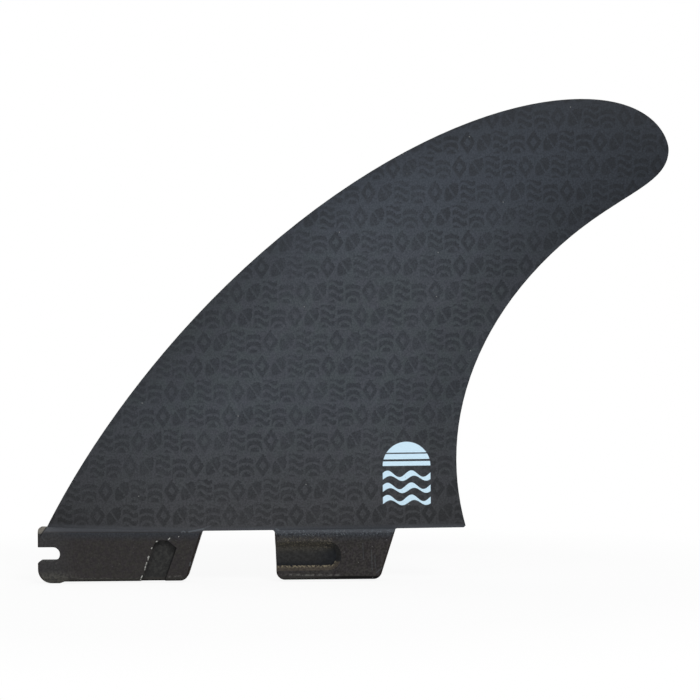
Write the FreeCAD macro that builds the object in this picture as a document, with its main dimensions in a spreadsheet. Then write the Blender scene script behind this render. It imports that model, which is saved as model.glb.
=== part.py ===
"""Surfboard side fin with two click-in base tabs.

One moulded piece: a swept blade with a flat inside face and a foiled outside face, and two
flat tabs under it that drop into a plug in the board.

Frame, in millimetres: the origin is midway between the tabs, on the plane where the blade
rests on the board. +X points aft, +Z out to the tip, and the foiled outside faces -Y.
"""
import FreeCAD, Part
import math
import os
import re

import Sketcher

V = FreeCAD.Vector
doc = FreeCAD.newDocument("SurfboardFin")

# Driving sizes, in millimetres, degrees and plain shares.
SIZES = {
    # leading edge: one curve from the foot, on the board, up to the highest point
    "foot_reach": 52.9,        # foot of the leading edge, ahead of the origin
    "lead_rise": 62.6,         # degrees from the board at the foot
    "crown_reach": 93.9,       # highest point of the outline, aft of the origin
    "blade_depth": 116.4,      # highest point above the board
    "foot_hold": 0.602,        # how far the curve keeps its first direction
    "crown_hold": 0.291,       # how far it runs level before the highest point
    # tip: two curves, over the top and back under
    "tip_overhang": 23.9,      # furthest point aft of the highest
    "tip_drop": 14.0,          # and below it
    "over_hold": 0.858,
    "tip_rise_hold": 0.19,
    "tip_fall_hold": 0.39,
    "hollow_set": 26.7,        # start of the hollow trailing edge, ahead of the furthest point
    "hollow_drop": 23.4,       # and below it
    "hollow_slope": 39.2,      # degrees from the board
    "under_hold": 0.808,
    # trailing edge: one curve from there down to the heel
    "heel_reach": 61.7,
    "heel_lean": 15.2,         # degrees from square to the board
    "heel_break": 0.5,         # small flat on the heel's corner
    "trail_hold": 0.41,
    "heel_hold": 0.377,
    # foil
    "root_thickness": 5.6,
    "tip_thickness": 2.0,
    "edge_thickness": 1.0,     # thickness that the leading and trailing edges tend to
    "edge_round": 0.33,
    "crest_share": 0.33,       # pull towards the thickest place, as a share of the chord
    "crest_lift": 2.6,         # height of that pull, as a multiple of the camber
    "tail_sink": 0.47,         # pull that flattens the run to the trailing edge
    "nose_dip": 0.12,
    "foil_overrun": 4.0,       # how far the foil surface is carried past the outline
    "blank_spare": 2.0,        # stock outside the thickest section, all cut away
    # tabs
    "tab_thickness": 6.2,
    "tab_depth": 13.4,
    "tab_rake": 18.0,          # degrees that the rear ends slope forward
    "tab_gap": 19.6,           # between the two tabs, under the blade
    "tab_edge": 0.45,          # break along the tabs' outer edges
    "sole_height": 1.0,        # steeper bevel along the bottom of each side
    "sole_width": 0.5,
    "toe_round": 3.8,
    "end_round": 2.3,
    "web_round": 0.8,          # where a tab's end meets the blade
    "web_depth": 1.2,
    # front tab
    "nose_reach": 54.3,        # its front face, ahead of the origin
    "nose_break": 0.4,
    "foot_length": 5.9,        # small foot under the nose
    "foot_drop": 0.45,
    "foot_ramp": 1.3,
    "shoulder_rise": 1.2,      # height of its top above the board, at the nose
    "nose_bevel_height": 1.25, # sloping band from the tab's side up to the foil, at the nose
    "nose_bevel_width": 2.5,
    "tail_bevel_height": 0.5,  # and at its rear end
    "bevel_width": 0.6,        # the same there and along the rear tab
    # rear tab
    "rear_length": 32.7,       # along the blade
    "rear_draft": 2.0,         # degrees that its front end slopes aft
    "rear_bevel_height": 0.9,
    # hook notch in the nose, for the cross pin of the plug
    "notch_height": 3.8,
    "notch_depth": 6.0,
    "notch_level": 5.95,       # its middle below the board
    "notch_lip": 0.5,
    # slanting recess in each side of the front tab, for the set screw
    "recess_width": 6.5,
    "recess_reach": 15.05,     # its rear wall ahead of the origin, at board level
    "recess_rake": 20.0,
    "recess_head": 2.45,       # its upper end below the board
    "recess_bevel": 2.1,
    "recess_round": 2.0,
    "recess_depth": 1.6,
    # long groove in each side of the rear tab, for the sprung roller
    "groove_height": 7.9,
    "groove_run": 18.0,        # from the tab's front end to the end of the groove
    "groove_level": 7.05,      # its middle below the board
    "groove_depth": 1.8,
    "groove_flare": 38.0,      # degrees that its walls lean outward
}

# Places on the leading and trailing curves that each foil section joins, as shares of the two
# curves, with the camber left there as a share of the root's.
FAN = [
    (0.18, 0.28, 0.86),
    (0.36, 0.52, 0.71),
    (0.54, 0.72, 0.57),
    (0.72, 0.87, 0.43),
    (0.88, 0.96, 0.32),
    (1.00, 1.00, 0.25),
]
SLOT_ROUND = 0.48              # end radius of a slot, as a share of its height
CLEAR = 2.0                    # how far a cut starts outside the material
NEAR = 1e-4                    # distance below which two places are the same
EDGE_SHARE = 0.39              # an edge rounding reaches this far across the edge at most
SQUARE = 0.9                   # an edge that runs across the blade points this far along Y

sheet = doc.addObject("Spreadsheet::Sheet", "Sizes")
for row, (alias, value) in enumerate(SIZES.items(), start=1):
    sheet.set(f"A{row}", alias)
    sheet.set(f"B{row}", str(value))
    sheet.setAlias(f"B{row}", alias)
doc.recompute()


def named(expression):
    """Refer each size name in an expression to the table of sizes."""
    return re.sub(r"[a-z_]+", lambda m: "Sizes." + m[0] if m[0] in SIZES else m[0], expression)


def worth(expression):
    """Present value of an expression, used to draw an outline close to its solution."""
    result = sheet.evalExpression(named(expression))
    return float(getattr(result, "Value", result))


def new_body(label):
    body = doc.addObject("PartDesign::Body", label)
    body.Label = label
    return body


def origin_plane(body, role):
    for feature in body.Origin.OriginFeatures:
        if feature.Role == role:
            return feature
    raise ValueError(role)


def sketch_on(body, name, role, lift="0"):
    """Sketch on one of the body's own planes, raised off it along the plane's normal."""
    sketch = body.newObject("Sketcher::SketchObject", name)
    sketch.AttachmentSupport = [(origin_plane(body, role), "")]
    sketch.MapMode = "FlatFace"
    sketch.setExpression("AttachmentOffset.Base.z", named(lift))
    return sketch


def at(point):
    return V(worth(point[0]), worth(point[1]), 0)


def place(sketch, geometry, end, point):
    """Hold a point of the sketch at a pair of expressions, measured from its origin."""
    for kind, expression in zip(("DistanceX", "DistanceY"), point):
        rule = Sketcher.Constraint(kind, -1, 1, geometry, end, worth(expression))
        index = sketch.addConstraint(rule)
        sketch.setExpression(f"Constraints[{index}]", named(expression))


def join(sketch, first, first_end, second, second_end):
    sketch.addConstraint(Sketcher.Constraint("Coincident", first, first_end, second, second_end))


def add_line(sketch, start, end):
    return sketch.addGeometry(Part.LineSegment(at(start), at(end)), False)


def add_circle(sketch, centre, radius):
    circle = sketch.addGeometry(Part.Circle(at(centre), V(0, 0, 1), worth(radius)), False)
    place(sketch, circle, 3, centre)
    held = sketch.addConstraint(Sketcher.Constraint("Radius", circle, worth(radius)))
    sketch.setExpression(f"Constraints[{held}]", named(radius))


def add_curve(sketch, points, starts_at=None, ends_at=None):
    """Cubic curve on four handles, whose ends may be joined to points drawn before."""
    curve = Part.BSplineCurve()
    curve.buildFromPolesMultsKnots([at(p) for p in points], [4, 4], [0, 1], False, 3)
    line = sketch.addGeometry(curve, False)
    joined = {0: starts_at, len(points) - 1: ends_at}
    for index, point in enumerate(points):
        handle = sketch.addGeometry(Part.Circle(at(point), V(0, 0, 1), 1), True)
        role = "InternalAlignment:Sketcher::BSplineControlPoint"
        sketch.addConstraint(Sketcher.Constraint(role, handle, 3, line, index))
        sketch.addConstraint(Sketcher.Constraint("Weight", handle, 1.0))
        if joined.get(index):
            join(sketch, handle, 3, *joined[index])
        else:
            place(sketch, handle, 3, point)
    return line


def add_outline(sketch, corners):
    """Closed outline through corners (x, y, radius); a radius of None leaves one sharp."""
    sharp = [at(corner[:2]) for corner in corners]
    count = len(corners)
    arrive = []
    leave = []
    middles = []
    for index, (_, _, radius) in enumerate(corners):
        back = (sharp[index - 1] - sharp[index]).normalize()
        ahead = (sharp[(index + 1) % count] - sharp[index]).normalize()
        half = back.getAngle(ahead) / 2
        size = worth(radius) if radius else 0
        trim = size / math.tan(half)
        arrive.append(sharp[index] + back * trim)
        leave.append(sharp[index] + ahead * trim)
        inward = (back + ahead).normalize()
        middles.append(sharp[index] + inward * (size / math.sin(half) - size))
    lines = []
    for index in range(count):
        segment = Part.LineSegment(leave[index], arrive[(index + 1) % count])
        lines.append(sketch.addGeometry(segment, False))
    for index, (x, y, radius) in enumerate(corners):
        before = lines[index - 1]
        after = lines[index]
        if not radius:
            join(sketch, before, 2, after, 1)
            place(sketch, after, 1, (x, y))
            continue
        mark = sketch.addGeometry(Part.Point(sharp[index]), True)
        place(sketch, mark, 1, (x, y))
        sketch.addConstraint(Sketcher.Constraint("PointOnObject", mark, 1, before))
        sketch.addConstraint(Sketcher.Constraint("PointOnObject", mark, 1, after))
        turn = sketch.addGeometry(Part.Arc(arrive[index], middles[index], leave[index]), False)
        forward = sketch.getPoint(turn, 1).isEqual(arrive[index], NEAR)
        sketch.addConstraint(Sketcher.Constraint("Tangent", before, 2, turn, 1 if forward else 2))
        sketch.addConstraint(Sketcher.Constraint("Tangent", after, 1, turn, 2 if forward else 1))
        held = sketch.addConstraint(Sketcher.Constraint("Radius", turn, worth(radius)))
        sketch.setExpression(f"Constraints[{held}]", named(radius))


def pad(body, name, sketch, length, both_ways=False):
    feature = body.newObject("PartDesign::Pad", name)
    feature.Profile = sketch
    feature.Midplane = both_ways
    feature.setExpression("Length", named(length))
    doc.recompute()
    return feature


def removes(body, name, before):
    """Make sure that a cut has taken something away."""
    doc.recompute()
    if not body.Shape.Volume < before:
        raise ValueError(f"{name} cuts nothing")


def cut(body, name, sketch, length=None, flare=None):
    """Pocket of a given depth, or right through both ways when no depth is given."""
    before = body.Shape.Volume
    feature = body.newObject("PartDesign::Pocket", name)
    feature.Profile = sketch
    if length is None:
        feature.Midplane = True
        feature.Type = "ThroughAll"
    else:
        feature.setExpression("Length", named(length))
    if flare:
        feature.setExpression("TaperAngle", named(flare))
    removes(body, name, before)
    return feature


def cut_loft(body, name, sections):
    """Cut away what a loft through the sections fills."""
    before = body.Shape.Volume
    feature = body.newObject("PartDesign::SubtractiveLoft", name)
    feature.Profile = sections[0]
    feature.Sections = sections[1:]
    removes(body, name, before)
    return feature


def cut_both_sides(body, name, draw, depth, flare=None):
    """Cut a recess in the outside face and mirror it to the inside face."""
    sketch = sketch_on(body, name + "Outline", "XZ_Plane", "tab_thickness / 2")
    draw(sketch)
    recess = cut(body, name, sketch, depth, flare)
    mirror = body.newObject("PartDesign::Mirrored", name + "Mirror")
    mirror.Originals = [recess]
    mirror.MirrorPlane = (origin_plane(body, "XZ_Plane"), [""])
    body.Tip = mirror
    doc.recompute()


def dress(body, kind, name, wanted, field, size):
    """Fillet or chamfer the edges whose middle and direction there pass the test."""
    base = body.Tip
    names = []
    for index, edge in enumerate(base.Shape.Edges, start=1):
        middle = (edge.FirstParameter + edge.LastParameter) / 2
        if wanted(edge.valueAt(middle), edge.tangentAt(middle)):
            names.append(f"Edge{index}")
    feature = body.newObject(kind, name)
    feature.Base = (base, names)
    feature.setExpression(field, named(size))
    doc.recompute()
    return feature


# Outline of the blade, as handles of cubic curves.
FOOT = ("-foot_reach", "0")
CROWN = ("crown_reach", "blade_depth")
TIP = ("( crown_reach + tip_overhang )", "( blade_depth - tip_drop )")
HOLLOW = (f"( {TIP[0]} - hollow_set )", f"( {TIP[1]} - hollow_drop )")
HEEL = ("heel_reach", "heel_break")
FOOT_PULL = "foot_hold * blade_depth / sin(lead_rise)"
TRAIL_PULL = f"trail_hold * {HOLLOW[1]}"
HEEL_PULL = f"heel_hold * {HOLLOW[1]}"
UNDER_PULL = "under_hold * hollow_drop"
LEADING = [
    FOOT,
    (f"-foot_reach + {FOOT_PULL} * cos(lead_rise)", f"{FOOT_PULL} * sin(lead_rise)"),
    ("crown_reach - crown_hold * (crown_reach + foot_reach)", "blade_depth"),
    CROWN,
]
OVER_TIP = [
    CROWN,
    ("crown_reach + over_hold * tip_overhang", "blade_depth"),
    (TIP[0], f"{TIP[1]} + tip_rise_hold * tip_drop"),
    TIP,
]
UNDER_TIP = [
    TIP,
    (TIP[0], f"{TIP[1]} - tip_fall_hold * hollow_drop"),
    (
        f"{HOLLOW[0]} + {UNDER_PULL} * cos(hollow_slope)",
        f"{HOLLOW[1]} + {UNDER_PULL} * sin(hollow_slope)",
    ),
    HOLLOW,
]
TRAILING = [
    HOLLOW,
    (
        f"{HOLLOW[0]} - {TRAIL_PULL} * cos(hollow_slope)",
        f"{HOLLOW[1]} - {TRAIL_PULL} * sin(hollow_slope)",
    ),
    (f"heel_reach - {HEEL_PULL} * sin(heel_lean)", f"heel_break + {HEEL_PULL} * cos(heel_lean)"),
    HEEL,
]
INSIDE = "tab_thickness / 2"   # the blade's flat inside face lies flush with the tabs'
FRONT_END = "-tab_gap / 2"     # rear end of the front tab, at board level
REAR_START = "tab_gap / 2"
REAR_END = "( tab_gap / 2 + rear_length )"
STOCK = "root_thickness + blank_spare"


def blade():
    body = new_body("blade")
    outline = sketch_on(body, "BladeOutline", "XZ_Plane", f"-{INSIDE}")
    lead = add_curve(outline, LEADING)
    over = add_curve(outline, OVER_TIP, starts_at=(lead, 2))
    under = add_curve(outline, UNDER_TIP, starts_at=(over, 2))
    trail = add_curve(outline, TRAILING, starts_at=(under, 2))
    corner = ("heel_reach - heel_break", "0")
    chip = add_line(outline, HEEL, corner)
    base = add_line(outline, corner, FOOT)
    join(outline, trail, 2, chip, 1)
    join(outline, chip, 2, base, 1)
    join(outline, base, 2, lead, 1)
    place(outline, base, 1, corner)
    pad(body, "Blank", outline, STOCK)
    add_webs(body)
    carve_foil(body)
    round_edges(body)
    return body


def add_webs(body):
    """Small concave webs at the tabs' ends, as thick as the blade is there."""
    reach = "3 * web_round"
    front = sketch_on(body, "FrontWebOutline", "XZ_Plane", f"-{INSIDE}")
    add_outline(front, [
        (f"{FRONT_END} + {reach}", "web_round", None),
        (f"{FRONT_END} + {reach}", "0", None),
        (FRONT_END, "0", "web_round"),
        (f"{FRONT_END} - web_depth * tan(tab_rake)", "-web_depth", None),
        (f"{FRONT_END} - {reach}", "-web_depth", None),
        (f"{FRONT_END} - {reach}", "web_round", None),
    ])
    pad(body, "FrontWeb", front, STOCK)
    rear = sketch_on(body, "RearWebOutline", "XZ_Plane", f"-{INSIDE}")
    add_outline(rear, [
        (f"{REAR_START} - {reach}", "web_round", None),
        (f"{REAR_START} - {reach}", "0", None),
        (REAR_START, "0", "web_round"),
        (f"{REAR_START} + web_depth * tan(rear_draft)", "-web_depth", None),
        (f"{REAR_END} - web_depth * tan(tab_rake)", "-web_depth", None),
        (REAR_END, "0", "web_round"),
        (f"{REAR_END} + {reach}", "0", None),
        (f"{REAR_END} + {reach}", "web_round", None),
    ])
    pad(body, "RearWeb", rear, STOCK)


def along(points, share):
    """Expressions for the point at a share of the way along a cubic curve."""
    rest = 1 - share
    weights = (rest ** 3, 3 * share * rest ** 2, 3 * share ** 2 * rest, share ** 3)
    return tuple(
        " + ".join(f"{weight:.6f} * ( {point[axis]} )" for weight, point in zip(weights, points))
        for axis in (0, 1)
    )


def foil_section(body, name, lead, trail, camber):
    """Cutter section that stands on the chord between two points of the outline.

    Its inner side is the foil's outside face, drawn as one curve from ahead of the leading
    edge to behind the trailing edge.
    """
    run = f"( {trail[0]} - ( {lead[0]} ) )"
    climb = f"( {trail[1]} - ( {lead[1]} ) )"
    chord = f"sqrt({run} ^ 2 + {climb} ^ 2)"
    sketch = sketch_on(body, name, "XY_Plane")
    sketch.AttachmentOffset = FreeCAD.Placement(V(0, 0, 0), FreeCAD.Rotation(V(0, 1, 0), 1))
    sketch.setExpression("AttachmentOffset.Base.x", named(lead[0]))
    sketch.setExpression("AttachmentOffset.Base.z", named(lead[1]))
    sketch.setExpression("AttachmentOffset.Rotation.Angle", named(f"-atan2({climb}; {run})"))
    face = f"{INSIDE} - edge_thickness"
    front = ("-foil_overrun", f"{face} + nose_dip * {camber}")
    back = (f"{chord} + foil_overrun", face)
    foil = [
        front,
        (f"crest_share * {chord}", f"{face} - crest_lift * {camber}"),
        (chord, f"{face} + tail_sink * {camber}"),
        back,
    ]
    far = f"{INSIDE} - root_thickness - blank_spare - {CLEAR}"
    surface = add_curve(sketch, foil)
    rear = add_line(sketch, back, (back[0], far))
    outer = add_line(sketch, (back[0], far), (front[0], far))
    fore = add_line(sketch, (front[0], far), front)
    join(sketch, surface, 2, rear, 1)
    join(sketch, rear, 2, outer, 1)
    join(sketch, outer, 2, fore, 1)
    join(sketch, fore, 2, surface, 1)
    place(sketch, outer, 1, (back[0], far))
    place(sketch, outer, 2, (front[0], far))
    return sketch


def carve_foil(body):
    """Cut the outside face: sections fan out from below the webs round to the tip."""
    below = f"( web_depth + {CLEAR} )"
    root_camber = "( root_thickness - edge_thickness )"
    tip_camber = "( tip_thickness - edge_thickness )"
    foot = (f"-foot_reach - {below} / tan(lead_rise)", f"-{below}")
    heel = (f"heel_reach + {below} * tan(heel_lean)", f"-{below}")
    sections = [foil_section(body, "FoilRoot", foot, heel, root_camber)]
    for index, (front, back, share) in enumerate(FAN, start=1):
        camber = f"( tip_thickness - edge_thickness + {share} * ( root_thickness - tip_thickness ) )"
        lead = along(LEADING, front)
        trail = along(TRAILING[::-1], back)
        sections.append(foil_section(body, f"Foil{index}", lead, trail, camber))
    beyond = f"{TIP[0]} + foil_overrun"
    top = (beyond, f"{TIP[1]} + tip_fall_hold * hollow_drop")
    bottom = (beyond, f"{TIP[1]} - tip_fall_hold * hollow_drop")
    sections.append(foil_section(body, "FoilTip", top, bottom, tip_camber))
    cut_loft(body, "OutsideFace", sections)


def round_edges(body):
    """Round the blade all along its outline, on both faces."""
    def on_outline(point, direction):
        return point.z > worth("heel_break") and abs(direction.y) < SQUARE

    radius = f"min(edge_round; {EDGE_SHARE} * edge_thickness)"
    dress(body, "PartDesign::Fillet", "EdgeRound", on_outline, "Radius", radius)


def break_tab_edges(body):
    """Bevel both sides of a tab along its ends and bottom, up to the blade."""
    half = worth("tab_thickness") / 2

    def on_side(point, direction):
        return abs(abs(point.y) - half) < NEAR and point.z < -NEAR

    dress(body, "PartDesign::Chamfer", "TabEdge", on_side, "Size", "tab_edge")


def bevel_sole(body):
    """Steeper bevel along the bottom of both sides of a tab."""
    steep = "sole_height / sole_width"
    high = f"-tab_depth + sole_height + {CLEAR} * {steep}"
    low = f"-tab_depth - {CLEAR} * {steep}"
    outer = f"tab_thickness / 2 + {CLEAR}"
    inner = f"tab_thickness / 2 - sole_width - {CLEAR}"
    sketch = sketch_on(body, "SoleBevelOutline", "YZ_Plane")
    for way in ("", "-"):
        add_outline(sketch, [
            (f"{way}( {outer} )", high, None),
            (f"{way}( {outer} )", low, None),
            (f"{way}( {inner} )", low, None),
        ])
    cut(body, "SoleBevel", sketch)


def bevel_shoulder(body, ends):
    """Slope the outside of the tab's top from its side up to the foil, end to end."""
    side = "-tab_thickness / 2"
    outer = f"{side} - {CLEAR}"
    sections = []
    for name, (reach, top, height, width) in zip(("BevelFront", "BevelBack"), ends):
        sketch = sketch_on(body, name, "YZ_Plane", reach)
        low = f"{top} - {height} - {CLEAR} * {height} / {width}"
        high = f"{top} + {CLEAR} * {height} / {width}"
        inner = f"{side} + {width} + {CLEAR}"
        add_outline(sketch, [(outer, low, None), (inner, high, None), (outer, high, None)])
        sections.append(sketch)
    cut_loft(body, "ShoulderBevel", sections)


def front_tab():
    body = new_body("front_tab")
    sole = "-tab_depth"
    foot = "-tab_depth - foot_drop"
    nose = "-nose_reach"
    profile = sketch_on(body, "FrontTabProfile", "XZ_Plane")
    add_outline(profile, [
        (nose, "shoulder_rise - nose_break", None),
        (nose, foot, "toe_round"),
        ("-nose_reach + foot_length", foot, None),
        ("-nose_reach + foot_length + foot_ramp", sole, None),
        (f"{FRONT_END} - tab_depth * tan(tab_rake)", sole, "end_round"),
        (FRONT_END, "0", None),
        ("-nose_reach + nose_break", "shoulder_rise", None),
    ])
    pad(body, "FrontTabSlab", profile, "tab_thickness", both_ways=True)
    break_tab_edges(body)
    bevel_sole(body)
    bevel_shoulder(body, [
        (f"{nose} - {CLEAR}", "shoulder_rise", "nose_bevel_height", "nose_bevel_width"),
        (f"{FRONT_END} + {CLEAR}", "0", "tail_bevel_height", "bevel_width"),
    ])

    notch = sketch_on(body, "NotchOutline", "XZ_Plane")
    roof = "-notch_level + notch_height / 2"
    floor = "-notch_level - notch_height / 2"
    end = "-nose_reach + notch_depth - notch_height / 2"
    mouth = f"-nose_reach - {CLEAR}"
    add_outline(notch, [
        (mouth, roof, None),
        (end, roof, None),
        (end, floor, None),
        ("-nose_reach + notch_lip", floor, None),
        ("-nose_reach", f"{floor} - notch_lip", None),
        (mouth, f"{floor} - notch_lip", None),
    ])
    cut(body, "HookNotch", notch)
    seat = sketch_on(body, "PinSeatCircle", "XZ_Plane")
    add_circle(seat, (end, "-notch_level"), "notch_height / 2")
    cut(body, "PinSeat", seat)

    def recess(sketch):
        def wall(extra, level):
            return f"-recess_reach - {extra} + ( {level} ) * tan(recess_rake)"

        below = f"-tab_depth - {CLEAR}"
        add_outline(sketch, [
            (wall("recess_width", below), below, None),
            (wall("0", below), below, None),
            (wall("0", "-recess_head - recess_bevel"), "-recess_head - recess_bevel", None),
            (wall("recess_width / 2", "-recess_head"), "-recess_head", None),
            (wall("recess_width", "-recess_head"), "-recess_head", "recess_round"),
        ])

    cut_both_sides(body, "ScrewRecess", recess, "recess_depth")
    return body


def rear_tab():
    body = new_body("rear_tab")
    sole = "-tab_depth"
    profile = sketch_on(body, "RearTabProfile", "XZ_Plane")
    add_outline(profile, [
        (REAR_START, "0", None),
        (f"{REAR_START} + tab_depth * tan(rear_draft)", sole, "end_round"),
        (f"{REAR_END} - tab_depth * tan(tab_rake)", sole, "end_round"),
        (REAR_END, "0", None),
    ])
    pad(body, "RearTabSlab", profile, "tab_thickness", both_ways=True)
    break_tab_edges(body)
    bevel_sole(body)
    bevel_shoulder(body, [
        (f"{REAR_START} - {CLEAR}", "0", "rear_bevel_height", "bevel_width"),
        (f"{REAR_END} + {CLEAR}", "0", "rear_bevel_height", "bevel_width"),
    ])

    def groove(sketch):
        mouth = f"{REAR_START} - {CLEAR} - groove_depth"
        end = f"{REAR_START} + groove_run"
        roof = "-groove_level + groove_height / 2"
        floor = "-groove_level - groove_height / 2"
        add_outline(sketch, [
            (mouth, floor, None),
            (end, floor, f"{SLOT_ROUND} * groove_height"),
            (end, roof, f"{SLOT_ROUND} * groove_height"),
            (mouth, roof, None),
        ])

    cut_both_sides(body, "RollerGroove", groove, "groove_depth", "-groove_flare")
    return body


fin = doc.addObject("Part::MultiFuse", "fin")
fin.Label = "fin"
fin.Shapes = [blade(), front_tab(), rear_tab()]
fin.Refine = True
doc.recompute()

for item in doc.Objects:
    if "Invalid" in item.State or "Error" in item.State:
        raise ValueError(f"{item.Name} failed: {item.State}")
for item in fin.Shapes + [fin]:
    if item.Shape.isNull() or not item.Shape.isValid() or len(item.Shape.Solids) != 1:
        raise ValueError(f"{item.Label} is not one sound solid")

box = fin.Shape.optimalBoundingBox()
print(f"fin: {box.XLength:.1f} x {box.YLength:.1f} x {box.ZLength:.1f} mm")
print(f"volume {fin.Shape.Volume / 1000:.2f} cm3, {len(fin.Shape.Faces)} faces")
os.makedirs("parts", exist_ok=True)
fin.Shape.exportStep("parts/fin.step")
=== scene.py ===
# %% [markdown]
# # A surfboard side fin
#
# The fin is one moulded piece: a swept blade and two tabs that click into the board. Its shape
# comes whole from the packed solid, so this scene models nothing again. What is left to do is
# the finish, which changes over the piece: a printed satin laminate on the blade, bare black
# plastic on the tabs, and the wear that a fin collects where it is pushed in and out of its
# plug. The first cell loads the solid and keeps the size of its box.

# %% Load the fin
import math

import bpy
from mathutils import Matrix, Vector


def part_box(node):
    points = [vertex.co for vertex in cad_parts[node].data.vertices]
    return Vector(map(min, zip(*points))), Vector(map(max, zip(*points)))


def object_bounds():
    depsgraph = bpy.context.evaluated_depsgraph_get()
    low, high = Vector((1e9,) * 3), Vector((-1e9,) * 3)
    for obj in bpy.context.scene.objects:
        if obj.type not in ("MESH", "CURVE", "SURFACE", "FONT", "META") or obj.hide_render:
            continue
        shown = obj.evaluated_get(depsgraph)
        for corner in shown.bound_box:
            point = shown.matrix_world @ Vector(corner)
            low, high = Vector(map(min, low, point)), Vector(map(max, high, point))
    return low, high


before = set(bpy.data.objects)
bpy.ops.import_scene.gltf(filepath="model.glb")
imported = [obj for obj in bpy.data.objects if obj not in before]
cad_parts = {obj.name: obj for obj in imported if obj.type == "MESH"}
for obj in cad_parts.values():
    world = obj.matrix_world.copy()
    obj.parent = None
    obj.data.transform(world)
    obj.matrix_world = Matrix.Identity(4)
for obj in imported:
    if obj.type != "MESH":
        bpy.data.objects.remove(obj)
cad_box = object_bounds()
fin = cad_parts["fin"]
MM = 0.001
box_low, box_high = (Vector(corner) / MM for corner in cad_box)
print("fin, mm:", [round(side, 1) for side in box_high - box_low])

# %% [markdown]
# ## Shader maths as plain expressions
#
# A procedural finish is arithmetic on the place of each surface point. Wired node by node, it is
# slow to write and hard to read. So one function adds any node with its settings and inputs. The
# material for the whole fin starts here, because each later step adds its nodes to it.

# %% Add a node
def new_tree(holder):
    """Give a material or a world an empty node tree."""
    holder.use_nodes = True
    holder.node_tree.nodes.clear()
    return holder.node_tree


FINISH = bpy.data.materials.new("fin_finish")
FIN_TREE = new_tree(FINISH)


def node(kind, settings=None, tree=FIN_TREE, **sockets):
    """Add a node; settings are set first, then values or links go to its named sockets.

    Nodes such as Math have several inputs of one name: there i0, i1 and so on count them.
    """
    made = tree.nodes.new(kind)
    for name, value in (settings or {}).items():
        setattr(made, name, value)
    for name, value in sockets.items():
        key = int(name[1:]) if name[0] == "i" and name[1:].isdigit() else name.replace("_", " ")
        if isinstance(value, Value):
            value = value.socket
        if isinstance(value, bpy.types.NodeSocket):
            tree.links.new(value, made.inputs[key])
        else:
            made.inputs[key].default_value = value
    return made


print("finish started:", FINISH.name)

# %% [markdown]
# One small class wraps a node's output socket and lets it be added, multiplied and compared like
# a number. Each operation adds the Math node that does it, so `1 - mask` is one short line here
# and one node in the material. A step between two values is a Map Range node, because it can be
# smooth or straight and holds its ends.

# %% One value that varies over the surface
class Value:
    """A number that varies over the surface."""

    def __init__(self, socket):
        self.socket = socket
        self.tree = socket.id_data

    def op(self, operation, *others):
        """The Math node of that operation, with this value as its first input."""
        sockets = {f"i{index}": other for index, other in enumerate((self, *others))}
        made = node("ShaderNodeMath", {"operation": operation}, self.tree, **sockets)
        return Value(made.outputs[0])

    def __add__(self, other):
        return self.op("ADD", other)

    def __radd__(self, other):
        return self.op("ADD", other)

    def __sub__(self, other):
        return self.op("SUBTRACT", other)

    def __rsub__(self, other):
        made = node("ShaderNodeMath", {"operation": "SUBTRACT"}, self.tree, i0=other, i1=self)
        return Value(made.outputs[0])

    def __mul__(self, other):
        return self.op("MULTIPLY", other)

    def __rmul__(self, other):
        return self.op("MULTIPLY", other)

    def __truediv__(self, other):
        return self.op("DIVIDE", other)

    def __abs__(self):
        return self.op("ABSOLUTE")

    def lower(self, other):
        return self.op("MINIMUM", other)

    def higher(self, other):
        return self.op("MAXIMUM", other)

    def floor(self):
        return self.op("FLOOR")

    def wrap(self, period):
        return self.op("FLOORED_MODULO", period)

    def sine(self):
        return self.op("SINE")

    def root(self):
        return self.op("SQRT")

    def above(self, edge, soft):
        """0 below the edge, 1 above it, with a soft step between."""
        sockets = {"Value": self, "From_Min": edge - soft, "From_Max": edge + soft}
        settings = {"interpolation_type": "SMOOTHSTEP", "clamp": True}
        return Value(node("ShaderNodeMapRange", settings, self.tree, **sockets).outputs[0])

    def below(self, edge, soft):
        """1 below the edge, 0 above it, with a soft step between."""
        return 1.0 - self.above(edge, soft)

    def ramp(self, low, high):
        """0 at low, 1 at high, straight between and held outside."""
        sockets = {"Value": self, "From_Min": low, "From_Max": high}
        return Value(node("ShaderNodeMapRange", {"clamp": True}, self.tree, **sockets).outputs[0])


print("named steps:", [name for name in vars(Value) if not name.startswith("_")])

# %% [markdown]
# The place of a point is read in millimetres: `x` runs aft along the base, `y` points out of
# the inside face, and `z` runs from the board to the tip. `depth` tells how far a point lies
# below the tabs' flat sides, which finds the floors of the recesses on both sides at once. The
# normal tells a bevel or a wall from a flat side.

# %% Where each surface point is
place = node("ShaderNodeTexCoord").outputs["Object"]
in_mm = node("ShaderNodeVectorMath", {"operation": "SCALE"}, i0=place, Scale=1 / MM).outputs[0]
split = node("ShaderNodeSeparateXYZ", Vector=in_mm)
x, y, z = (Value(split.outputs[index]) for index in range(3))
HALF_TAB = box_high.y
depth = HALF_TAB - abs(y)
facing = node("ShaderNodeNewGeometry").outputs["Normal"]
turned = node("ShaderNodeSeparateXYZ", Vector=facing)
faces_aft, faces_y, faces_up = (Value(turned.outputs[index]) for index in range(3))
faces_side = abs(faces_y)
print("tabs, mm thick:", round(2 * HALF_TAB, 2))

# %% [markdown]
# ## Colours
#
# Colours are written as they look in the studio, in the 0 to 255 steps of a paint chart, and
# turned into the linear values that the renderer works with. A satin surface also reflects a
# little of the room on top of its own colour, which shows on one as dark as this, so that share
# is taken off first. A colour is laid over another by a mask with a Mix node, because plain
# maths on one number would turn it grey.

# %% Colour helpers
SHEEN = 0.0062
LEAST = 0.001


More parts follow.
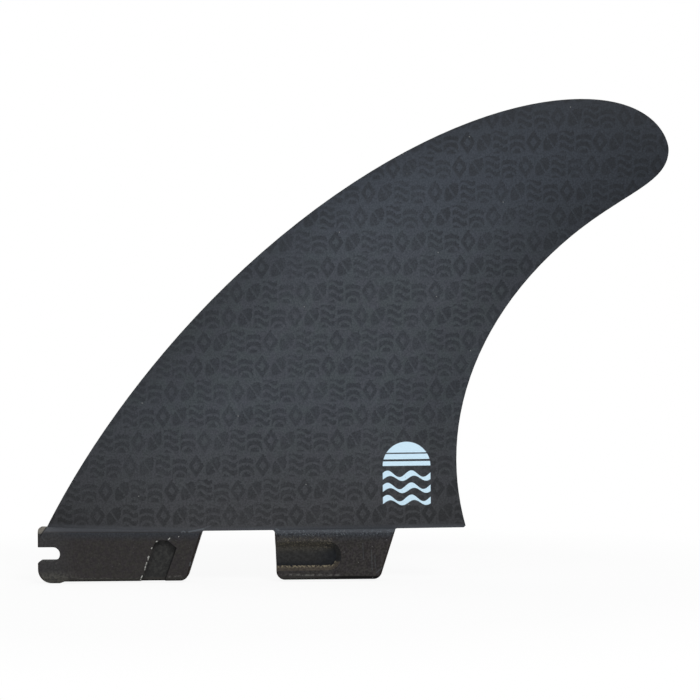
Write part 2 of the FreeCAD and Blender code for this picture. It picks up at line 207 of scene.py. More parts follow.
def paint(red, green, blue):
    """A colour as seen, in steps of 0 to 255, as the renderer's own linear colour."""

    def linear(step):
        share = step / 255
        value = share / 12.92 if share <= 0.04045 else ((share + 0.055) / 1.055) ** 2.4
        return max(value - SHEEN, LEAST)

    return (linear(red), linear(green), linear(blue), 1.0)


def blend(under, over, mask):
    """Lay a colour over another where the mask is 1."""
    settings = {"data_type": "RGBA", "blend_type": "MIX", "clamp_factor": True}
    return node("ShaderNodeMix", settings, i0=mask, i6=under, i7=over).outputs[2]


def shade(colour, factor):
    """Lighten or darken a mixed colour by a factor that varies."""
    return node("ShaderNodeVectorMath", {"operation": "SCALE"}, i0=colour, Scale=factor).outputs[0]


print("mid grey, linear:", round(paint(128, 128, 128)[0], 3))

# %% [markdown]
# Nothing woven or moulded is quite even. A noise texture gives mottling from 0 to 1, and its size
# is given in millimetres. Four of them are used again and again: a fine grain and a speckle, and
# the weave of the cloth and the pepper of the bare plastic, which are sharpened by a step about
# the middle, because a plain noise is too soft to show at their size.

# %% Four kinds of grain
def noise(size, detail=2.0, rough=0.5, stretch=(1.0, 1.0, 1.0), seed=0.0):
    """Mottling from 0 to 1 whose blotches are about `size` millimetres."""
    scale = tuple(s / size for s in stretch)
    shift = (seed, seed * 0.7, -seed)
    moved = node("ShaderNodeMapping", Vector=in_mm, Scale=scale, Location=shift).outputs[0]
    made = node("ShaderNodeTexNoise", Vector=moved, Scale=1.0, Detail=detail, Roughness=rough)
    return Value(made.outputs["Fac"])


grain = noise(0.3, detail=3.0, rough=0.7)
weave = noise(0.45, detail=3.0, rough=0.8, seed=27.0).above(0.5, 0.16)
speckle = noise(0.55, detail=4.0, rough=0.75, seed=12.0)
pepper = noise(0.55, detail=2.0, rough=0.6, seed=17.0).above(0.5, 0.16)
print("nodes so far:", len(FIN_TREE.nodes))

# %% [markdown]
# ## The printed laminate
#
# The blade carries an all-over print, only a little darker than its ground, of chunky
# ornaments a few millimetres wide. Every other row is shifted by half an ornament, like bricks,
# and four plain shapes take turns: a leaf, waves, a shell and a lozenge. Each is a formula on
# the distance from its cell's middle, which stays sharp at any size, where a picture would
# blur. The weave shifts that distance a little and so frays the edges, as ink does on a woven
# ground.

# %% Cells of the print
CELL_WIDE = 4.5
CELL_HIGH = 6.7
PRINT_START = 0.8
INK_EDGE = 0.2
FRAY = 0.28
ORNAMENTS = 4.0
ROW_STEP = 3.0
level = z - PRINT_START
row = (level / CELL_HIGH).floor()
shifted = x + row.wrap(2.0) * (CELL_WIDE / 2)
column = (shifted / CELL_WIDE).floor()
fray = FRAY * (weave - 0.5)
cell_side = shifted.wrap(CELL_WIDE) - CELL_WIDE / 2 + fray
cell_rise = level.wrap(CELL_HIGH) - CELL_HIGH / 2 + fray
turn = (column + row * ROW_STEP).wrap(ORNAMENTS)
print("one cell of the print, mm:", CELL_WIDE, "x", CELL_HIGH)

# %% [markdown]
# Inside its cell each ornament is a formula on `cell_side` and `cell_rise`, the way from the
# cell's middle. The leaf is where two discs overlap, with a slanting line cut out. The waves
# repeat a swinging line, the shell repeats rings about a point near the cell's foot, and the
# lozenge is a ring of slanted sides.

# %% Four ornaments
LEAF_SIDE = 1.5
LEAF_RISE = 1.0
LEAF_ROUND = 3.5
RIPPLE_STEP = 2.1
RIPPLE_WIDE = 1.25
RIPPLE_SWING = 0.6
RIPPLE_TURN = 1.4
SHELL_DROP = 3.0
SHELL_STEP = 1.9
SHELL_RING = 1.2
SHELL_REACH = 5.6
LOZENGE_SIDE = 2.2
LOZENGE_RISE = 3.2


def distance(across, over):
    """The length of a slanting way, from how far it goes across and over."""
    return (across * across + over * over).root()


def disc(across, over, radius, soft=INK_EDGE):
    """1 inside a disc; `across` and `over` are distances from its middle."""
    return distance(across, over).below(radius, soft)


leaf = disc(cell_side - LEAF_SIDE, cell_rise + LEAF_RISE, LEAF_ROUND)
leaf = leaf * disc(cell_side + LEAF_SIDE, cell_rise - LEAF_RISE, LEAF_ROUND)
vein = abs(cell_side * 0.84 + cell_rise * 0.54).below(0.2, 0.14)
swinging = cell_rise + (cell_side * RIPPLE_TURN).sine() * RIPPLE_SWING
waves = swinging.wrap(RIPPLE_STEP).below(RIPPLE_WIDE, INK_EDGE)
from_foot = distance(cell_side, cell_rise + SHELL_DROP)
shell = from_foot.wrap(SHELL_STEP).below(SHELL_RING, INK_EDGE)
shell = shell * from_foot.below(SHELL_REACH, INK_EDGE)
rim = abs(cell_side) / LOZENGE_SIDE + abs(cell_rise) / LOZENGE_RISE
lozenge = rim.below(1.0, 0.08) * rim.above(0.42, 0.08)
print("ornaments drawn, nodes so far:", len(FIN_TREE.nodes))

# %% [markdown]
# Each cell shows one of the four, by its turn, inside a narrow margin. The print is worn thin in
# places, so a wide noise lets it fade and come back.

# %% The print as one mask
SIDE_GAP = 0.25
ROW_GAP = 0.3


def taken(which):
    """1 in the cells whose turn it is."""
    return abs(turn - which).below(0.5, 0.01)


inside_cell = abs(cell_side).below(CELL_WIDE / 2 - SIDE_GAP, INK_EDGE)
inside_cell = inside_cell * abs(cell_rise).below(CELL_HIGH / 2 - ROW_GAP, INK_EDGE)
ornament = taken(0.0) * leaf * (1.0 - vein) + taken(1.0) * waves
ornament = ornament + taken(2.0) * shell + taken(3.0) * lozenge
fading = (0.3 + 0.9 * noise(11.0, detail=1.0, seed=3.0)) * (0.7 + 0.5 * speckle)
print_ink = ornament * inside_cell * fading * z.above(PRINT_START, 0.1)
print("print starts above the board, mm:", PRINT_START)

# %% [markdown]
# A pale mark is printed low on the blade, near the trailing edge, on the outside alone: a
# setting sun over three waves, with strokes that swell in the middle like brush strokes.

# %% The sun-and-waves mark
MARK_X = 45.7
MARK_Z = 15.1
MARK_HALF = 6.5
SUN_FOOT = 1.9
SUN_GAPS = ((1.5, 0.28), (3.4, 0.18))
WAVE_LINES = (-0.9, -4.2, -7.5)
WAVE_SWING = 0.75
BRUSH_HALF = 0.62
BRUSH_SWELL = 0.3
WAVE_TURN = 2 * math.pi / MARK_HALF
CRISP = 0.09
mark_side = x - MARK_X
mark_rise = z - MARK_Z


def sun():
    """A half disc whose lower part is cut by thin gaps."""
    shape = disc(mark_side, mark_rise - SUN_FOOT, MARK_HALF, CRISP)
    shape = shape * mark_rise.above(SUN_FOOT, CRISP)
    for rise, half in SUN_GAPS:
        shape = shape * (1.0 - abs(mark_rise - SUN_FOOT - rise).below(half, CRISP))
    return shape


def wave(centre):
    """How far a point lies outside a wavy brush stroke; negative is inside."""
    from_middle = mark_rise - centre - (mark_side * WAVE_TURN).sine() * WAVE_SWING
    half = BRUSH_HALF + BRUSH_SWELL * (mark_side * WAVE_TURN + 1.2).sine()
    return abs(from_middle) - half


top_wave, mid_wave, low_wave = (wave(line) for line in WAVE_LINES)
brushed = top_wave.lower(mid_wave).lower(low_wave).below(0.0, CRISP)
mark = (sun() + brushed * abs(mark_side).below(MARK_HALF, CRISP)).lower(1.0)
mark = mark * faces_y.below(-0.5, 0.1)
print("mark, mm:", 2 * MARK_HALF, "wide at", (MARK_X, MARK_Z))

# %% [markdown]
# The laminate is a blue-grey black, and it is not even. Blotches of a few millimetres lean
# towards blue or green, and the weave breaks up the ground. The base is greyer and darker. Over
# that lies painted light and shade for a broad highlight: the blade is painted lighter as it
# climbs, and painted darker where the foil is thin, along its leading edge and towards the tip.
# A narrow band of painted shade follows the rounded edges. Because the inside is flat, the
# foil's thickness is the distance from it.

# %% The blade's colour
GROUND_LOW = paint(66, 66, 68)
GROUND_BLUE = paint(66, 69, 75)
GROUND_GREEN = paint(66, 71, 75)
GROUND_HIGH = paint(64, 69, 77)
INK_LOW = paint(50, 51, 53)
INK_HIGH = paint(52, 55, 60)
BLADE_EDGE_SHADE = paint(44, 45, 47)
MARK_BLUE = paint(205, 231, 247)
THICK = 3.2
THIN = 1.4
climb = z.ramp(4.0, 34.0)
blotch = noise(3.4, detail=3.0, seed=1.0).above(0.5, 0.14)
ground = blend(GROUND_LOW, blend(GROUND_BLUE, GROUND_GREEN, blotch), 0.25 + 0.75 * climb)
ground = blend(ground, GROUND_HIGH, 0.8 * z.ramp(62.0, 92.0))
ink = blend(INK_LOW, INK_HIGH, climb)
blade = blend(ground, ink, print_ink)
# Painted shade and light: darker where thin, on the leading edge and towards the tip, lighter
# higher up.
shade_where_thin = (HALF_TAB - y).ramp(THICK, THIN) * faces_y.below(0.0, 0.1)
shade_on_leading_edge = faces_aft.ramp(-0.02, -0.13) * (1.0 - 0.4 * z.ramp(60.0, 95.0))
shade_to_tip = (x + z).ramp(120.0, 214.0)
painted_shading = 0.94 + 0.12 * climb - 0.22 * shade_where_thin - 0.24 * shade_on_leading_edge - 0.45 * shade_to_tip
blade = shade(blade, painted_shading * (0.76 + 0.48 * weave))
# Painted shade: the rounded edges, turned away from the side, are painted darker.
blade = blend(blade, BLADE_EDGE_SHADE, faces_side.below(0.8, 0.15) * 0.8)
blade = blend(blade, MARK_BLUE, mark)
print("blade finish, nodes so far:", len(FIN_TREE.nodes))

# %% [markdown]
# ## The tabs
#
# The tabs are bare moulded plastic, browner and rougher than the blade. A sloping band joins them
# to the blade: it is widest at the nose, narrows aft and is a little wider again on the rear tab.
# Its two lines are the ones that the solid is made with, so the colours change exactly on its
# edges.

# %% Where the blade, the band and the tabs meet
NOSE = box_low.x
TAB_GAP = 19.6
FRONT_END = -TAB_GAP / 2
REAR_START = TAB_GAP / 2
SHOULDER_RISE = 1.2
BAND_NOSE = 1.25
BAND_TAIL = 0.5
BAND_REAR_TAB = 0.9
share_aft = x.ramp(NOSE, FRONT_END)
band_top = (1.0 - share_aft) * SHOULDER_RISE
band_low = band_top - (BAND_NOSE - (BAND_NOSE - BAND_TAIL) * share_aft)
band_low = band_low - x.above(0.0, 1.0) * (BAND_REAR_TAB - BAND_TAIL)
on_blade = (z - band_top).above(0.05, 0.07)
on_band = (z - band_low).above(0.1, 0.45) * (1.0 - on_blade)
beside_band = (z - band_top).below(0.7, 0.6) * on_blade
below_band = z - band_low
on_rear = x.above(0.0, 0.5)
print("front tab, mm:", round(FRONT_END - NOSE, 1), "long")

# %% [markdown]
# Moulded plastic of this kind is never one colour. Two browns lie mixed in blotches of about a
# millimetre, a painted bluish reflection fades out just under the band, the nose and the foot are
# dusty, and fine pepper breaks up the light. The band gets two light greys of painted bluish
# reflection, one for each tab, and a coarser mottling.

# %% Bare plastic
TAB = paint(53, 51, 51)
TAB_OLIVE = paint(56, 55, 52)
TAB_PURPLE = paint(52, 49, 51)
TAB_BLUE_REFLECTION = paint(50, 53, 58)
NOSE_GREY = paint(57, 57, 58)
FOOT_GREY = paint(77, 76, 72)
BAND_REFLECTION_FRONT = paint(71, 73, 77)
BAND_REFLECTION_REAR = paint(71, 74, 79)
tab = blend(TAB_PURPLE, TAB_OLIVE, noise(1.1, detail=4.0, seed=5.0).above(0.5, 0.13))
tab = blend(TAB, tab, 0.5)
# Painted reflection: a bluish sheen fading down just below the band.
tab = blend(tab, TAB_BLUE_REFLECTION, below_band.ramp(-2.4, -0.2) * 0.85)
tab = blend(tab, NOSE_GREY, x.ramp(-44.0, -50.0) * 0.7)
foot = x.ramp(-42.0, -48.0) * z.ramp(-10.2, -12.4)
foot_dust = noise(0.9, detail=4.0, rough=0.75, seed=8.0).above(0.45, 0.07)
tab = blend(tab, FOOT_GREY, foot * foot_dust)
tab = shade(tab, 0.96 + (0.32 + 0.32 * on_rear) * (pepper - 0.5) + 0.4 * (grain - 0.5))
# Painted reflection: the sloping band's light bluish grey.
band_reflection = blend(BAND_REFLECTION_FRONT, BAND_REFLECTION_REAR, on_rear)
band_mottle = noise(0.7, detail=4.0, rough=0.75, stretch=(0.6, 1.0, 1.0), seed=2.0)
band_reflection = shade(band_reflection, 0.68 + 0.6 * band_mottle)
sides = blend(tab, band_reflection, on_band)
print("tab finish, nodes so far:", len(FIN_TREE.nodes))

# %% [markdown]
# The set screw presses in a slanting recess of the front tab. Its floor keeps dust and grease
# and is blotchy. Its walls that face aft and those that face down are painted a lighter grey,
# mottled, as painted light that lifts their shade. Three masks find it: its span along the base,
# the space under the band, and the depth below the tab's side.

# %% The set screw's recess
RECESS_START = -28.0
RECESS_END = -15.0
FLOOR_GREY = paint(58, 58, 57)
FLOOR_DARK = paint(48, 48, 48)
WALL_PAINTED_LIGHT = paint(72, 71, 69)


def window(low, high, value, soft=0.2):
    """1 where the value lies between two bounds."""
    return value.above(low, soft) * value.below(high, soft)


floor_blotch = noise(1.0, detail=3.0, seed=6.0).above(0.5, 0.12)
recess_floor = shade(blend(FLOOR_DARK, FLOOR_GREY, floor_blotch), 1.0 + 0.24 * (pepper - 0.5))
in_recess = window(RECESS_START, RECESS_END, x) * below_band.below(-1.0, 0.3)
sides = blend(sides, recess_floor, depth.above(0.6, 0.5) * in_recess)
# Painted light: the walls facing aft and down are painted lighter.
lit_wall_paint = faces_aft.above(0.2, 0.1).higher(faces_up.below(-0.2, 0.1))
lit_wall_paint = lit_wall_paint * depth.above(0.08, 0.06) * in_recess
sides = blend(sides, WALL_PAINTED_LIGHT, lit_wall_paint * (0.4 + 0.6 * speckle.above(0.46, 0.1)))
print("recess lies between x, mm:", (RECESS_START, RECESS_END))

# %% [markdown]
# The sprung roller has polished the groove of the rear tab. Its floor gets painted shadow,
# darker downward and towards its round end, and the end wall is painted lighter. The lower wall,
# where the roller rides out, faces up: its golden brown is partly worn resin and partly painted
# light. Along that wall's inner edge a noise, stretched upward into teeth, cuts bright chips and
# black notches of painted shadow.

# %% The roller's groove
GROOVE_TOP = -3.1
GROOVE_LOW = -11.0
GROOVE_END = 28.0
GROOVE_BROWN = paint(66, 64, 59)
GROOVE_MIDDLE = paint(47, 47, 47)
GROOVE_SHADOW = paint(32, 34, 37)
GOLD = paint(80, 75, 68)
GOLD_DARK = paint(58, 54, 51)
GOLD_CHIP = paint(128, 120, 102)
in_groove = window(REAR_START - 0.5, GROOVE_END + 0.3, x)
in_groove = in_groove * window(GROOVE_LOW - 0.1, GROOVE_TOP + 0.1, z, 0.1)
scuffed = noise(0.45, detail=4.0, rough=0.8, stretch=(0.7, 1.0, 1.0), seed=4.0).above(0.5, 0.08)
brown = z.ramp(-6.6, -4.2) * x.ramp(27.0, 22.0) * (0.35 + 0.65 * scuffed)
lit_end_wall = x.ramp(24.6, 26.6) * faces_aft.below(-0.2, 0.15)
# Painted shadow: the floor is painted darker downward and towards its round end.
groove = blend(GROOVE_SHADOW, GROOVE_MIDDLE, z.ramp(-9.7, -8.0) * x.ramp(26.6, 20.0))
groove = blend(groove, GROOVE_BROWN, brown)
# Painted light: the round end wall is painted lighter.
groove = blend(groove, GROOVE_MIDDLE, lit_end_wall * z.ramp(-10.2, -6.0))
groove = shade(groove, 1.0 + 0.5 * (pepper - 0.5) + 0.3 * (grain - 0.5))
teeth = noise(0.5, detail=2.0, stretch=(1.0, 1.0, 0.3), seed=7.0)
lower_wall = depth.below(1.72, 0.06) * z.below(-8.6, 0.3)
# The gold is partly worn resin and partly painted light on this upward-facing wall.
gold = blend(GOLD_DARK, GOLD, speckle.above(0.47, 0.1))
gold = blend(gold, GOLD_CHIP, depth.above(1.05, 0.3) * teeth.above(0.53, 0.06))
groove = blend(groove, gold, lower_wall)
# Black notches of painted shadow cut into the gold.
groove = blend(groove, GROOVE_SHADOW, lower_wall * depth.above(1.4, 0.1) * teeth.below(0.47, 0.05))
sides = blend(sides, groove, depth.above(0.08, 0.06) * in_groove)
print("groove, mm:", round(GROOVE_TOP - GROOVE_LOW, 1), "high")

# %% [markdown]
# Along the groove's upper rim the roller has scuffed the plastic brown, each time that the fin
# was pushed home. A strip about the rim takes two masks, one soft and one of sharp flecks.

# %% The scuffed rim
SCUFF = paint(112, 106, 93)
near_rim = window(REAR_START + 0.2, 25.5, x, 1.2) * z.ramp(-5.8, -4.0) * z.ramp(-1.2, -3.4)
fleck = noise(0.5, detail=4.0, rough=0.85, seed=15.0).above(0.57, 0.04)
sides = blend(sides, GROOVE_BROWN, near_rim * (0.15 + 0.5 * scuffed))
sides = blend(sides, SCUFF, near_rim * fleck * 0.95)
print("groove and rim, nodes so far:", len(FIN_TREE.nodes))

# %% [markdown]
# ## Wear and painted shade
#
# Wear sits where the fin meets the plug: a bright line along the sole, a pale raw patch where the
# nose hooks under the pin, chips along the set screw's recess, partly painted glints, and a few
# scratches. Painted shade darkens the tabs' edges, the sole's bevel and the notch's floor, and
# lines of painted shadow follow the recess and the leading edge. A line of wear or of painted
# shade is a stroke between two places (x, z) of the side. It is the distance from a straight
# line, cut off at half its width.

# %% Edges, sole and notch
FOOT_DROP = 0.45
SOLE = box_low.z + FOOT_DROP
TAB_EDGE_SHADE = paint(38, 32, 29)
SOLE_SHADE = paint(17, 17, 18)
SOLE_OLIVE = paint(56, 55, 53)
WORN_LINE = paint(92, 91, 88)
NOTCH_FLOOR_SHADE = paint(20, 19, 18)


def stroke(start, end, wide, soft=0.12):
    """1 along a straight stroke between two places (x, z) of the side."""
    run = end[0] - start[0]
    rise = end[1] - start[1]
    along = (x - start[0]) * run + (z - start[1]) * rise
    share = along.ramp(0.0, run * run + rise * rise)
    off_line = distance(x - start[0] - share * run, z - start[1] - share * rise)
    return off_line.below(wide / 2, soft)


# Painted shade: the tabs' bevels and edges, turned from the side, are painted dark brown.
tab_edge_shading = faces_side.below(0.82, 0.08) * depth.below(0.6, 0.1)
sides = blend(sides, TAB_EDGE_SHADE, tab_edge_shading * (1.0 - in_groove) * (1.0 - on_band) * 0.75)
# Painted shade: the downward sole bevel, and the rear tab's sole towards its end, are painted near
# black.
shaded_sole = z.ramp(SOLE + 0.4, SOLE + 0.1).higher(x.ramp(18.0, 28.0))
sole = blend(SOLE_OLIVE, SOLE_SHADE, shaded_sole)
sides = blend(sides, sole, z.below(SOLE + 0.85, 0.12) * x.above(-46.0, 1.0))
dashes = noise(0.6, detail=4.0, rough=0.8, stretch=(0.6, 1.0, 1.0), seed=14.0).above(0.52, 0.06)
sole_line = stroke((11.5, -12.0), (27.0, -12.3), 0.55, 0.25)
sole_line = sole_line + stroke((-19.0, -12.35), (-15.4, -12.2), 0.45, 0.2)
sole_line = sole_line + 0.8 * stroke((-44.0, -12.6), (-27.0, -12.6), 0.3)
sides = blend(sides, WORN_LINE, sole_line.lower(1.0) * dashes)
# Painted shadow: the notch's upward-facing floor is painted near black.
in_notch = x.below(-48.0, 0.2) * window(-8.1, -7.4, z, 0.1)
sides = blend(sides, NOTCH_FLOOR_SHADE, in_notch * faces_up.above(0.5, 0.1))
notch_lip = stroke((-53.8, -8.2), (-49.0, -8.2), 0.28) * dashes
sides = blend(sides, WORN_LINE, notch_lip * 0.7)
print("sole at z, mm:", round(SOLE, 2))

# %% [markdown]
# The nose stands ahead of the blade. There the moulding is raw and paler, up to the line that the
# leading edge would draw if it ran on down to the nose, so the patch is cut by that line. A
# line of painted shade follows it, the leading edge's dark line drawn on down.

# %% Raw nose patch
RAW = paint(113, 109, 102)
RAW_SHADE = paint(80, 79, 74)
LEAD_FOOT = -52.9
LEAD_SLOPE = math.tan(math.radians(62.6))
ahead = x - LEAD_FOOT - z / LEAD_SLOPE
raw_patch = ahead.below(-0.05, 0.12) * z.above(-0.35, 0.2)
raw = blend(RAW_SHADE, RAW, noise(0.7, detail=4.0, rough=0.7, seed=10.0).above(0.44, 0.12))
# Painted shade: the leading edge's dark line, drawn on down over the nose.
lead_shadow = stroke((-51.3, 2.8), (-52.4, 0.8), 0.3)
lead_shadow = lead_shadow.higher(stroke((-52.4, 0.8), (-53.5, -0.9), 0.34))
nose_streak = stroke((-53.2, -1.2), (-52.4, -2.2), 0.2, 0.15)
print("leading edge meets the base at x, mm:", LEAD_FOOT)

# %% [markdown]
# Chips and scratches, and lines of painted shadow and painted glints, are lists of strokes:
# start, end and width, in millimetres. They were set one by one, each where the real fin shows
# one. Each list gets its own colour and strength later.

# %% Where the chips, scratches, painted shadows and glints are
# Chips along the recess's left wall, partly painted glints where the key light catches its edge.
recess_chips_and_glints = [
    ((-22.2, -2.9), (-22.0, -2.7), 0.32),
    ((-23.5, -4.6), (-23.4, -4.4), 0.26),
    ((-24.4, -7.0), (-24.3, -6.8), 0.44),
    ((-24.5, -7.7), (-24.4, -7.2), 0.18),
    ((-25.1, -9.0), (-24.8, -8.4), 0.28),
    ((-25.4, -10.4), (-25.2, -9.5), 0.24),
    ((-26.4, -12.6), (-26.1, -12.0), 0.24),
    ((-26.6, -13.1), (-26.5, -13.0), 0.24),
    ((-18.9, -2.2), (-18.5, -1.8), 0.22),
    ((-16.2, -1.5), (-16.1, -1.4), 0.14),
]
# Painted shadow: along the recess's right wall and bevel, and under the rear tab's front corner.
shadow_lines = [
    ((-19.2, -2.75), (-17.0, -4.65), 0.3),
    ((-17.0, -4.65), (-20.0, -13.2), 0.36),
    ((10.3, -0.5), (10.9, -1.6), 0.4),
]
# Painted highlights where the web curves at the tabs' inner corners, and a few chips.
glint_and_chip_lines = [
    ((-13.4, -0.2), (-9.6, 0.5), 0.36),
    ((-15.4, -0.3), (-14.9, 0.0), 0.26),
    ((-14.9, 0.0), (-14.4, -0.3), 0.26),
    ((-13.0, -8.4), (-13.2, -9.3), 0.24),
    ((10.2, 0.3), (10.9, 0.0), 0.4),
]
faint_lines = [
    ((37.3, -11.6), (38.8, -10.3), 0.24),
    ((7.3, 30.9), (9.4, 29.6), 0.12),
    ((7.8, 29.7), (8.9, 30.9), 0.12),
    ((11.6, 55.2), (12.3, 54.6), 0.14),
    ((12.3, 54.6), (13.0, 55.4), 0.12),
    ((5.5, 44.5), (6.1, 44.1), 0.18),
    # Painted highlight: the web's glint running on up the blade.
    ((-9.6, 0.5), (-7.5, 1.4), 0.24),
    ((35.9, -5.6), (36.1, -11.0), 0.14),
    ((36.8, -7.0), (37.0, -10.4), 0.12),
    ((33.6, -3.6), (33.8, -8.0), 0.1),
]
all_lists = (recess_chips_and_glints, shadow_lines, glint_and_chip_lines, faint_lines)
print("strokes in the lists:", sum(len(strokes) for strokes in all_lists))

# %% [markdown]
# The strokes of a list join into one mask, and a ragged noise breaks up the bright ones, so that
# none looks drawn with a ruler. Specks come from a Voronoi pattern, one round speck to a cell,
# and only some of the cells are given one. Chips and scratches lie on the outside, the side
# that is knocked most. The inside gets the even wear alone.

# %% Wear, painted shadow and glints on the tabs
PAINTED_SHADOW = paint(24, 24, 26)
CHIP_AND_GLINT = paint(186, 187, 182)
SHINE = paint(104, 110, 116)
PALE = paint(150, 152, 150)


def drawn(strokes, soft=0.1):
    """All the strokes of a list as one mask."""
    total = None
    for start, end, wide in strokes:
        one = stroke(start, end, wide, soft)
        total = one if total is None else total.higher(one)
    return total


def specks(size, radius, share, seed):
    """Round specks: one to a cell of `size` millimetres, in a share of the cells."""
    flat = node("ShaderNodeCombineXYZ", X=x / size + seed, Y=z / size).outputs[0]
    cells = node("ShaderNodeTexVoronoi", {"voronoi_dimensions": "2D"}, Vector=flat, Scale=1.0)
    chosen = Value(node("ShaderNodeSeparateXYZ", Vector=cells.outputs["Color"]).outputs[0])
    near = Value(cells.outputs["Distance"]).below(radius / size, 0.4 * radius / size)
    return near * chosen.below(share, 0.01)


on_outside = y.below(0.0, 0.3)
ragged = noise(0.4, detail=4.0, rough=0.8, seed=19.0)
# White chips, partly painted glints on the edge.
recess_chip_and_glint_mask = drawn(recess_chips_and_glints) * (0.15 + 0.75 * ragged.above(0.46, 0.06))
dust = noise(0.42, detail=4.0, rough=0.85, seed=23.0).above(0.58, 0.05)
dusty_band = dust * window(-1.5, 0.2, z, 0.4) * (0.1 + 0.8 * on_rear)
tab_specks = specks(1.9, 0.09, 0.16, 9.0) * (0.15 + 0.35 * on_rear) * (1.0 - in_groove)
# Painted shadow lines.
sides = blend(sides, PAINTED_SHADOW, drawn(shadow_lines) * 0.6)
sides = blend(sides, CHIP_AND_GLINT, recess_chip_and_glint_mask * on_outside)
sides = blend(sides, SHINE, dusty_band)
sides = blend(sides, PALE, tab_specks)
print("tabs done, nodes so far:", len(FIN_TREE.nodes))

# %% [markdown]
# Now the blade's colour and the tabs' come together at the blade's foot, where the band's painted
# reflection reaches a little onto the blade. The wear, painted shade and painted highlights that
# cross that line are laid over both.

# %% Blade and tabs together
# The band's painted reflection reaches onto the blade just above it.
finish = blend(sides, blend(blade, band_reflection, beside_band * 0.8), on_blade)
finish = blend(finish, raw, raw_patch)
# Painted shade along the leading edge's line.
finish = blend(finish, PAINTED_SHADOW, lead_shadow * 0.7)
# Painted highlights and chips, broken up by the ragged noise.
glint_and_chip_mask = drawn(glint_and_chip_lines, 0.16) * (0.4 + 1.2 * (ragged - 0.3))
# Scratches, and one painted highlight running on from the web.
scratches_and_glint = drawn(faint_lines, 0.16) * 0.28 + nose_streak * 0.15
finish = blend(finish, SHINE, glint_and_chip_mask.lower(1.0) * on_outside * 0.8)
finish = blend(finish, SHINE, scratches_and_glint * on_outside)
finish = blend(finish, PALE, specks(9.0, 0.13, 0.16, 21.0) * on_blade * 0.6)
print("colour done, nodes so far:", len(FIN_TREE.nodes))

# %% [markdown]
# ## One shader for the whole piece
#
# The solid is one moulding, so it takes one material, and the masks above change it from place
# to place. The laminate is satin. The tabs are rougher, and their grain is deeper. The grain is
# too fine to model, so it only tilts the light, through a Bump node. Only numbers that vary are
# linked; the rest are set on the shader itself.

# %% Put the finish together
INK_RELIEF = 0.12
GRAIN_HEIGHT = 0.05 * MM
RESIN_IOR = 1.45
GLOSS = 0.13
rough_blade = 0.44 + 0.1 * noise(1.2, detail=3.0, seed=9.0)
rough_tab = 0.58 + 0.16 * speckle
roughness = rough_tab + (rough_blade - rough_tab) * on_blade
height = grain * (1.0 - 0.6 * on_blade) + 0.5 * speckle * (1.0 - on_blade)
height = height + print_ink * INK_RELIEF * on_blade
bump = node("ShaderNodeBump", Strength=0.35, Distance=GRAIN_HEIGHT, Height=height)
surface = node(
    "ShaderNodeBsdfPrincipled", Base_Color=finish, Roughness=roughness, Normal=bump.outputs[0]
)
surface.inputs["IOR"].default_value = RESIN_IOR
surface.inputs["Specular IOR Level"].default_value = GLOSS
node("ShaderNodeOutputMaterial", Surface=surface.outputs[0])
for slot in fin.material_slots:
    slot.material = FINISH
print("shader nodes:", len(FIN_TREE.nodes))

# %% [markdown]
# ## Studio
#
# The fin stands on its tabs on a plain pale floor. A bright room would wash out so dark a piece,
# so what the camera sees is kept apart from what lights the fin, by the kind of ray, through a
# Light Path node. The camera, and mirror and glass rays, see the floor lifted to white, a little
# less near the fin, where it keeps the fin's shadow.

# %% Floor
FLOOR_PALE = (0.8, 0.8, 0.8, 1.0)
FLOOR_HALF = 4.0
FLOOR_GAP = 0.02 * MM
SHADOW_LIFT = 0.9
SHADOW_NEAR = 0.12
SHADOW_FAR = 0.2


def seen_directly(tree):
    """1 for the rays that show the background, 0 for the rays that light the fin."""
    path = node("ShaderNodeLightPath", tree=tree).outputs
    camera_ray, glossy_ray, glass_ray = (
        Value(path[f"Is {kind} Ray"]) for kind in ("Camera", "Glossy", "Transmission")
    )
    return camera_ray.higher(glossy_ray).higher(glass_ray)


pale_floor = bpy.data.materials.new("pale_floor")
floor_tree = new_tree(pale_floor)
spot = node("ShaderNodeTexCoord", tree=floor_tree).outputs["Object"]
length = node("ShaderNodeVectorMath", {"operation": "LENGTH"}, floor_tree, i0=spot)
away = Value(length.outputs["Value"])
lift = SHADOW_LIFT + (1.0 - SHADOW_LIFT) * away.ramp(SHADOW_NEAR, SHADOW_FAR)
share_white = seen_directly(floor_tree) * lift
matte = node("ShaderNodeBsdfDiffuse", tree=floor_tree, Color=FLOOR_PALE).outputs[0]
white = node("ShaderNodeEmission", tree=floor_tree).outputs[0]
mixed = node("ShaderNodeMixShader", tree=floor_tree, i0=share_white, i1=matte, i2=white)
node("ShaderNodeOutputMaterial", tree=floor_tree, Surface=mixed.outputs[0])

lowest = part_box("fin")[0].z - FLOOR_GAP
floor_mesh = bpy.data.meshes.new("floor")
corners = [(-1, -1), (1, -1), (1, 1), (-1, 1)]
places = [(i * FLOOR_HALF, j * FLOOR_HALF, lowest) for i, j in corners]
floor_mesh.from_pydata(places, [], [(0, 1, 2, 3)])
floor_mesh.materials.append(pale_floor)
floor = bpy.data.objects.new("floor", floor_mesh)
bpy.context.scene.collection.objects.link(floor)
print("floor at z, mm:", round(lowest / MM, 2))

# %% [markdown]
# The world does the same: it is full white where it is seen, and gives the fin less than half
# that light, evenly from all around.

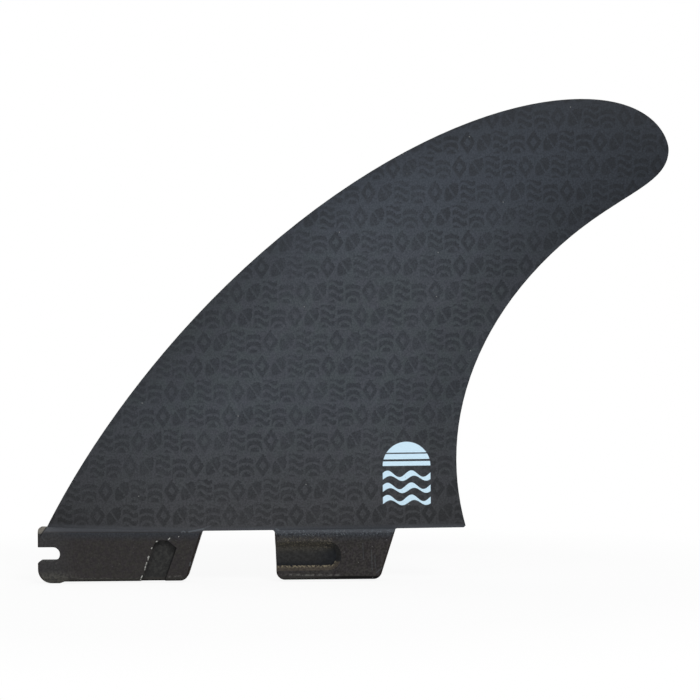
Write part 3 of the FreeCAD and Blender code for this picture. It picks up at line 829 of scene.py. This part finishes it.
# %% World
WORLD_LIGHT = 0.42
WHITE = (1.0, 1.0, 1.0, 1.0)
world = bpy.data.worlds.new("studio")
bpy.context.scene.world = world
sky = new_tree(world)
light = WORLD_LIGHT + (1.0 - WORLD_LIGHT) * seen_directly(sky)
background = node("ShaderNodeBackground", tree=sky, Color=WHITE, Strength=light)
node("ShaderNodeOutputWorld", tree=sky, Surface=background.outputs[0])
print("light from the world:", WORLD_LIGHT)

# %% [markdown]
# Three soft boxes light the fin: the key from the upper right, in front, which leaves a thin
# shadow along the right walls of the recesses; a weak fill from the left; and one overhead.

# %% Lamps
def soft_box(name, where, aim, size, watts):
    """A square area lamp that is turned towards a place."""
    lamp = bpy.data.lights.new(name, "AREA")
    lamp.shape = "SQUARE"
    lamp.size = size
    lamp.energy = watts
    holder = bpy.data.objects.new(name, lamp)
    bpy.context.scene.collection.objects.link(holder)
    holder.location = where
    holder.rotation_euler = (Vector(aim) - Vector(where)).to_track_quat("-Z", "Y").to_euler()


CENTRE = (0.03, 0.0, 0.05)
soft_box("key", (0.5, -1.0, 0.95), CENTRE, 0.5, 9.1)
soft_box("fill", (-0.8, -1.0, 0.4), CENTRE, 0.9, 3.0)
soft_box("top", (0.1, 0.2, 1.3), CENTRE, 0.9, 4.7)
print("lamps:", [lamp.name for lamp in bpy.data.lights])

# %% [markdown]
# ## Camera
#
# The photograph was taken square to the fin's side, from well back, and it is turned by half
# a degree, so the base climbs a little to the right. The camera is turned by the same angle
# and the fin stays level.

# %% Camera
TURN = math.radians(0.5)
FRAME_WIDE = 190.88 * MM
AIM = Vector((30.61, 2.6, 48.58)) * MM
DISTANCE = 0.65
SENSOR = 36.0
camera_data = bpy.data.cameras.new("camera")
camera_data.sensor_width = SENSOR
camera_data.lens = SENSOR * DISTANCE / FRAME_WIDE
camera = bpy.data.objects.new("camera", camera_data)
bpy.context.scene.collection.objects.link(camera)
right = Vector((math.cos(TURN), 0.0, -math.sin(TURN)))
up = Vector((math.sin(TURN), 0.0, math.cos(TURN)))
back = Vector((0.0, -1.0, 0.0))
turned_by = Matrix((right, up, back)).transposed().to_4x4()
camera.matrix_world = Matrix.Translation(AIM + back * DISTANCE) @ turned_by
bpy.context.scene.camera = camera
bpy.context.scene.view_settings.view_transform = "Standard"
print("lens, mm:", round(camera_data.lens, 1))

# %% [markdown]
# ## The end
